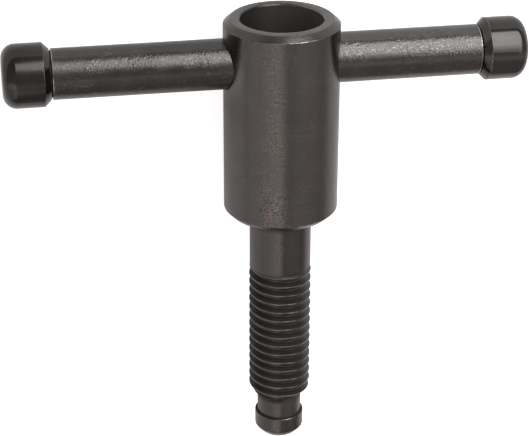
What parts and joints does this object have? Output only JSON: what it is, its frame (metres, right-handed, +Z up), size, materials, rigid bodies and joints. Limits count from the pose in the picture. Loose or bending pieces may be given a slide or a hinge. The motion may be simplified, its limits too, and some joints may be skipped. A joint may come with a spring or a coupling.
{
  "type": "tommy screw",
  "caption": "Blackened steel clamping screw with a hollow round head, a thrust point at its tip and a loose cross bar that slides through the head between end caps.",
  "frame": {"origin": "on the screw's axis, at the underside of the head", "axes": "-Y along the screw's axis towards its tip, +Z up from the surface that the screw lies on, +X towards the end of the bar that is clear of that surface"},
  "size_m": [0.081, 0.074, 0.018],
  "materials": {
    "screw_steel": "black oxide, satin, turned",
    "bar_steel": "black oxide, grainy, worn",
    "cap_steel": "black oxide, smooth"
  },
  "bodies": {
    "screw": {"screw_body": "screw_steel"},
    "bar": {"tommy_bar": "bar_steel", "left_cap": "cap_steel", "right_cap": "cap_steel"}
  },
  "joints": [
    {"name": "bar_slide", "type": "slide", "parent": "screw", "child": "bar", "axis": [0.9948, 0, 0.1018], "range_m": [-0.0219, 0.0262]}
  ]
}
